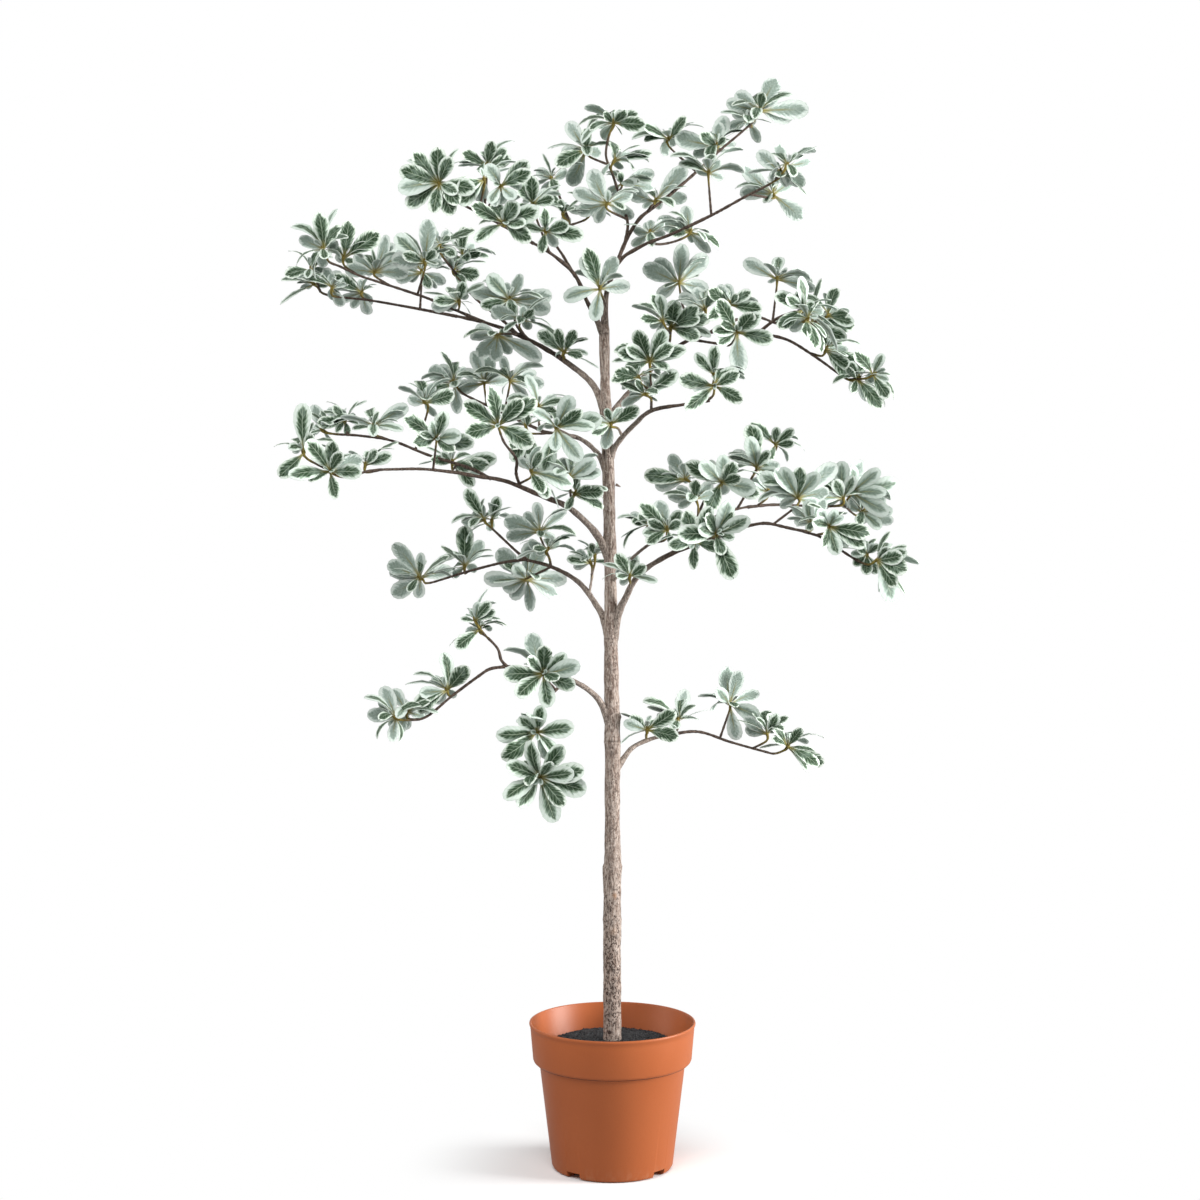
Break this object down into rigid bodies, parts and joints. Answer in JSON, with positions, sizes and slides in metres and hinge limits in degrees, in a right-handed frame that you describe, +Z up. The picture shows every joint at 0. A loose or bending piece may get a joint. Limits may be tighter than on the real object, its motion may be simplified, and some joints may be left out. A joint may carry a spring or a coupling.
{
  "type": "potted ornamental tree",
  "caption": "Slender potted tree with a bare straight trunk, arching limbs in tiers and rosettes of green leaves edged in cream, in a plain terracotta-coloured nursery pot.",
  "frame": {"origin": "centre of the pot's underside, on the surface it stands on", "axes": "+Z up along the trunk, +X to the right and -Y towards the viewer of the front"},
  "size_m": [0.8701, 0.5256, 1.4892],
  "materials": {
    "terracotta_plastic": "satin",
    "potting_soil": "matte",
    "bark": "matte",
    "twig_bark": "matte",
    "variegated_foliage": "matte"
  },
  "bodies": {
    "root": {"leader": "twig_bark", "limb_crown_left": "twig_bark", "limb_left_arch": "twig_bark", "limb_left_long": "twig_bark", "limb_left_low": "twig_bark", "limb_left_upper": "twig_bark", "limb_right_long": "twig_bark", "limb_right_low": "twig_bark", "limb_right_top": "twig_bark", "limb_right_upper": "twig_bark", "limb_top_left": "twig_bark", "pot": "terracotta_plastic", "soil": "potting_soil", "spray_crown_left_inner": "variegated_foliage", "spray_crown_left_near": "variegated_foliage", "spray_crown_left_outer": "variegated_foliage", "spray_leader_front": "variegated_foliage", "spray_leader_inner": "variegated_foliage", "spray_leader_peak": "variegated_foliage", "spray_leader_right": "variegated_foliage", "spray_leader_top": "variegated_foliage", "spray_leader_under": "variegated_foliage", "spray_left_arch_high": "variegated_foliage", "spray_left_arch_middle": "variegated_foliage", "spray_left_arch_near": "variegated_foliage", "spray_left_arch_outer": "variegated_foliage", "spray_left_long_high": "variegated_foliage", "spray_left_long_inner": "variegated_foliage", "spray_left_long_near": "variegated_foliage", "spray_left_long_outer": "variegated_foliage", "spray_left_low_hanging": "variegated_foliage", "spray_left_low_high": "variegated_foliage", "spray_left_low_outer": "variegated_foliage", "spray_left_upper_front": "variegated_foliage", "spray_left_upper_outer": "variegated_foliage", "spray_right_back_high": "variegated_foliage", "spray_right_back_left": "variegated_foliage", "spray_right_back_outer": "variegated_foliage", "spray_right_long_front": "variegated_foliage", "spray_right_long_near": "variegated_foliage", "spray_right_long_outer": "variegated_foliage", "spray_right_low_near": "variegated_foliage", "spray_right_low_outer": "variegated_foliage", "spray_right_short": "variegated_foliage", "spray_right_top_back": "variegated_foliage", "spray_right_top_end": "variegated_foliage", "spray_right_top_front": "variegated_foliage", "spray_right_top_left": "variegated_foliage", "spray_right_top_outer": "variegated_foliage", "spray_right_top_rear": "variegated_foliage", "spray_right_upper_high": "variegated_foliage", "spray_right_upper_near": "variegated_foliage", "spray_right_upper_outer": "variegated_foliage", "spray_top_left_middle": "variegated_foliage", "spray_top_left_near": "variegated_foliage", "spray_top_left_outer": "variegated_foliage", "spray_top_left_stub": "variegated_foliage", "spray_top_left_upper": "variegated_foliage", "trunk": "bark"}
  },
  "joints": []
}
